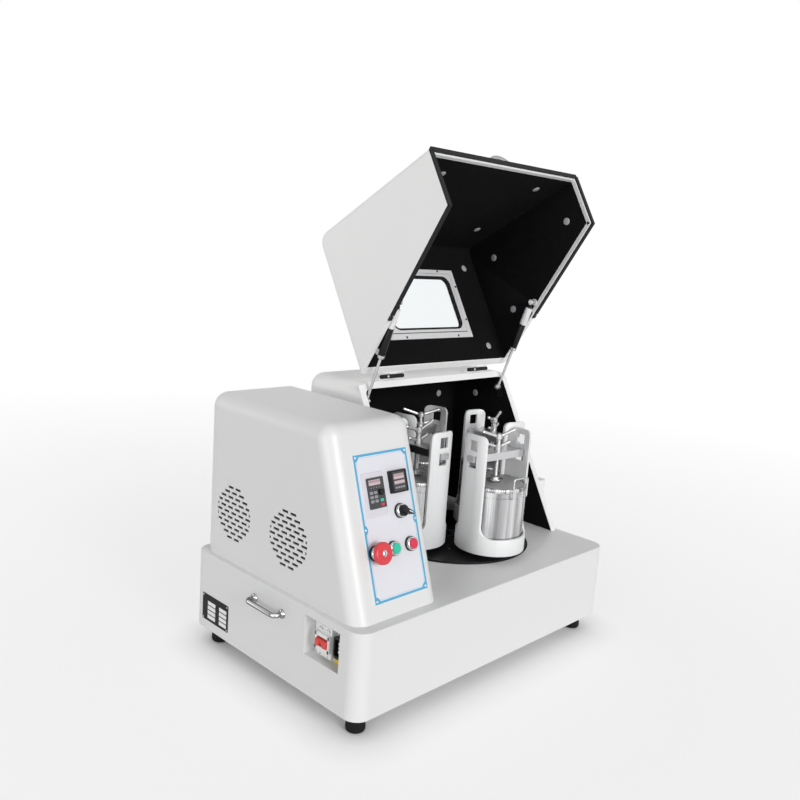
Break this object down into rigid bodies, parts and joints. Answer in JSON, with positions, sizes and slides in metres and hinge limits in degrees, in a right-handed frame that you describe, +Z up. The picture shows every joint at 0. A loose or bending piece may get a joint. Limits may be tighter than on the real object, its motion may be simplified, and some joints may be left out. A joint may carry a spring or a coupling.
{
  "type": "planetary ball mill",
  "caption": "Bench-top planetary ball mill: geared turntable with clamped jar stations under a hinged, foam-lined hood, beside a sloping control box.",
  "frame": {"origin": "centre of the footprint (over the carrying handles), on the surface the feet stand on", "axes": "+X along the long front towards the hood side, +Y from the control panel to the back, +Z up"},
  "size_m": [0.75, 0.47, 0.9637],
  "materials": {
    "white_enamel": "satin powder coat",
    "bare_steel": "ground and polished",
    "machined_steel": "machined",
    "chrome": "polished chrome",
    "dark_disc": "satin black",
    "black_paint": "satin black",
    "foam": "acoustic foam skin",
    "seal_rubber": "matt",
    "foot_rubber": "matt",
    "clear_pane": "clear",
    "frame_silver": "satin anodised",
    "overlay": "printed film",
    "black_plastic": "fine texture",
    "gloss_black": "gloss",
    "green_cap": "gloss",
    "red_cap": "gloss",
    "motor_paint": "painted casting",
    "belt_rubber": "matt",
    "cast_grey": "as cast"
  },
  "bodies": {
    "base": {"base_cabinet": "white_enamel", "base_plate": "bare_steel", "feet": "foot_rubber", "side_handles": "chrome", "bearing_frame": "cast_grey", "sun_gear": "machined_steel", "motor": "motor_paint", "drive_belt": "belt_rubber", "control_box": "white_enamel", "control_back": "white_enamel", "control_overlay": "overlay", "panel_instruments": "black_plastic", "switch_bezels": "chrome", "power_entry": "black_plastic", "side_box": "white_enamel", "rear_housing": "white_enamel", "housing_liner": "foam", "hinges_fixed": "black_paint", "strut_brackets": "bare_steel"},
    "turntable": {"turntable": "dark_disc", "main_shaft": "machined_steel"},
    "motor_rotor": {"motor_pulley": "machined_steel"},
    "lid": {"lid_shell": "white_enamel", "lid_liner": "foam", "lid_seal": "seal_rubber", "window_frame": "frame_silver", "window_pane": "clear_pane", "lid_handle": "gloss_black", "hinges_moving": "black_paint"},
    "strut_tubes": {"strut_tubes": "black_paint"},
    "strut_rods": {"strut_rods": "chrome"},
    "selector_knob": {"selector_knob": "black_plastic"},
    "speed_knob": {"speed_knob": "black_plastic"},
    "start_button": {"start_button": "green_cap"},
    "stop_button": {"stop_button": "red_cap"},
    "estop_button": {"estop_button": "red_cap"},
    "breaker_toggle": {"breaker_toggle": "red_cap"},
    "holder_1": {"jar_holder_1": "bare_steel", "jar_1": "bare_steel", "crossbar_1": "chrome"},
    "clamp_pad_1": {"clamp_pad_1": "machined_steel"},
    "clamp_screw_1": {"clamp_screw_1": "chrome"},
    "idler_1": {"idler_gear_1": "machined_steel"},
    "holder_2": {"jar_holder_2": "bare_steel", "jar_2": "bare_steel", "crossbar_2": "chrome"},
    "clamp_pad_2": {"clamp_pad_2": "machined_steel"},
    "clamp_screw_2": {"clamp_screw_2": "chrome"},
    "idler_2": {"idler_gear_2": "machined_steel"},
    "holder_3": {"jar_holder_3": "bare_steel", "jar_3": "bare_steel", "crossbar_3": "chrome"},
    "clamp_pad_3": {"clamp_pad_3": "machined_steel"},
    "clamp_screw_3": {"clamp_screw_3": "chrome"},
    "idler_3": {"idler_gear_3": "machined_steel"},
    "holder_4": {"jar_holder_4": "bare_steel", "jar_4": "bare_steel", "crossbar_4": "chrome"},
    "clamp_pad_4": {"clamp_pad_4": "machined_steel"},
    "clamp_screw_4": {"clamp_screw_4": "chrome"},
    "idler_4": {"idler_gear_4": "machined_steel"}
  },
  "joints": [
    {"name": "lid_hinge", "type": "hinge", "parent": "base", "child": "lid", "pos_m": [0.115, 0.07002, 0.525], "axis": [1, 0, 0], "range_deg": [0, 120]},
    {"name": "strut_swing", "type": "hinge", "parent": "base", "child": "strut_rods", "pos_m": [0.115, 0.064, 0.481], "axis": [1, 0, 0], "range_deg": [0, 118.49]},
    {"name": "strut_slide", "type": "slide", "parent": "strut_rods", "child": "strut_tubes", "axis": [0, 0.3344, -0.9424], "range_m": [0, 0.07689]},
    {"name": "turntable_spin", "type": "hinge", "parent": "base", "child": "turntable", "pos_m": [0.115, 0, 0.187], "axis": [0, 0, 1], "continuous": true},
    {"name": "motor_spin", "type": "hinge", "parent": "base", "child": "motor_rotor", "pos_m": [-0.243, 0, 0.187], "axis": [0, 0, 1], "continuous": true},
    {"name": "selector_turn", "type": "hinge", "parent": "base", "child": "selector_knob", "pos_m": [-0.21, -0.16033, 0.34442], "axis": [0, -0.9483, 0.3173], "range_deg": [-90, 0]},
    {"name": "speed_knob_turn", "type": "hinge", "parent": "base", "child": "speed_knob", "pos_m": [-0.2505, -0.14827, 0.38046], "axis": [0, -0.9483, 0.3173], "range_deg": [-150, 150]},
    {"name": "start_push", "type": "slide", "parent": "base", "child": "start_button", "axis": [0, 0.9483, -0.3173], "range_m": [0, 0.003], "stiffness_N_per_m": 400, "springref_m": -0.002},
    {"name": "stop_push", "type": "slide", "parent": "base", "child": "stop_button", "axis": [0, 0.9483, -0.3173], "range_m": [0, 0.003], "stiffness_N_per_m": 400, "springref_m": -0.002},
    {"name": "estop_push", "type": "slide", "parent": "base", "child": "estop_button", "axis": [0, 0.9483, -0.3173], "range_m": [0, 0.005], "stiffness_N_per_m": 800, "springref_m": -0.003},
    {"name": "breaker_flip", "type": "hinge", "parent": "base", "child": "breaker_toggle", "pos_m": [-0.3465, -0.139, 0.139], "axis": [0, -1, 0], "range_deg": [-50, 0]},
    {"name": "holder_spin_1", "type": "hinge", "parent": "turntable", "child": "holder_1", "pos_m": [0.10914, -0.11185, 0.202], "axis": [0, 0, 1], "continuous": true},
    {"name": "idler_spin_1", "type": "hinge", "parent": "turntable", "child": "idler_1", "pos_m": [0.11155, -0.06591, 0.165], "axis": [0, 0, 1], "continuous": true},
    {"name": "pad_rise_1", "type": "slide", "parent": "holder_1", "child": "clamp_pad_1", "axis": [0, 0, 1], "range_m": [0, 0.01]},
    {"name": "screw_turn_1", "type": "hinge", "parent": "clamp_pad_1", "child": "clamp_screw_1", "pos_m": [0.10914, -0.11185, 0.38], "axis": [0, 0, 1], "range_deg": [0, 1800]},
    {"name": "holder_spin_2", "type": "hinge", "parent": "turntable", "child": "holder_2", "pos_m": [0.22685, -0.00586, 0.202], "axis": [0, 0, 1], "continuous": true},
    {"name": "idler_spin_2", "type": "hinge", "parent": "turntable", "child": "idler_2", "pos_m": [0.18091, -0.00345, 0.165], "axis": [0, 0, 1], "continuous": true},
    {"name": "pad_rise_2", "type": "slide", "parent": "holder_2", "child": "clamp_pad_2", "axis": [0, 0, 1], "range_m": [0, 0.01]},
    {"name": "screw_turn_2", "type": "hinge", "parent": "clamp_pad_2", "child": "clamp_screw_2", "pos_m": [0.22685, -0.00586, 0.38], "axis": [0, 0, 1], "range_deg": [0, 1800]},
    {"name": "holder_spin_3", "type": "hinge", "parent": "turntable", "child": "holder_3", "pos_m": [0.12086, 0.11185, 0.202], "axis": [0, 0, 1], "continuous": true},
    {"name": "idler_spin_3", "type": "hinge", "parent": "turntable", "child": "idler_3", "pos_m": [0.11845, 0.06591, 0.165], "axis": [0, 0, 1], "continuous": true},
    {"name": "pad_rise_3", "type": "slide", "parent": "holder_3", "child": "clamp_pad_3", "axis": [0, 0, 1], "range_m": [0, 0.01]},
    {"name": "screw_turn_3", "type": "hinge", "parent": "clamp_pad_3", "child": "clamp_screw_3", "pos_m": [0.12086, 0.11185, 0.38], "axis": [0, 0, 1], "range_deg": [0, 1800]},
    {"name": "holder_spin_4", "type": "hinge", "parent": "turntable", "child": "holder_4", "pos_m": [0.00315, 0.00586, 0.202], "axis": [0, 0, 1], "continuous": true},
    {"name": "idler_spin_4", "type": "hinge", "parent": "turntable", "child": "idler_4", "pos_m": [0.04909, 0.00345, 0.165], "axis": [0, 0, 1], "continuous": true},
    {"name": "pad_rise_4", "type": "slide", "parent": "holder_4", "child": "clamp_pad_4", "axis": [0, 0, 1], "range_m": [0, 0.01]},
    {"name": "screw_turn_4", "type": "hinge", "parent": "clamp_pad_4", "child": "clamp_screw_4", "pos_m": [0.00315, 0.00586, 0.38], "axis": [0, 0, 1], "range_deg": [0, 1800]}
  ],
  "couplings": [
    {"joint": "strut_swing", "follows": "lid_hinge", "ratio": 0.98729},
    {"joint": "strut_slide", "follows": "lid_hinge", "m_per_rad": 0.036664},
    {"joint": "motor_spin", "follows": "turntable_spin", "ratio": 4},
    {"joint": "holder_spin_1", "follows": "turntable_spin", "ratio": -2},
    {"joint": "idler_spin_1", "follows": "turntable_spin", "ratio": 1.5385},
    {"joint": "screw_turn_1", "follows": "pad_rise_1", "rad_per_m": 3141.6},
    {"joint": "holder_spin_2", "follows": "turntable_spin", "ratio": -2},
    {"joint": "idler_spin_2", "follows": "turntable_spin", "ratio": 1.5385},
    {"joint": "screw_turn_2", "follows": "pad_rise_2", "rad_per_m": 3141.6},
    {"joint": "holder_spin_3", "follows": "turntable_spin", "ratio": -2},
    {"joint": "idler_spin_3", "follows": "turntable_spin", "ratio": 1.5385},
    {"joint": "screw_turn_3", "follows": "pad_rise_3", "rad_per_m": 3141.6},
    {"joint": "holder_spin_4", "follows": "turntable_spin", "ratio": -2},
    {"joint": "idler_spin_4", "follows": "turntable_spin", "ratio": 1.5385},
    {"joint": "screw_turn_4", "follows": "pad_rise_4", "rad_per_m": 3141.6}
  ]
}
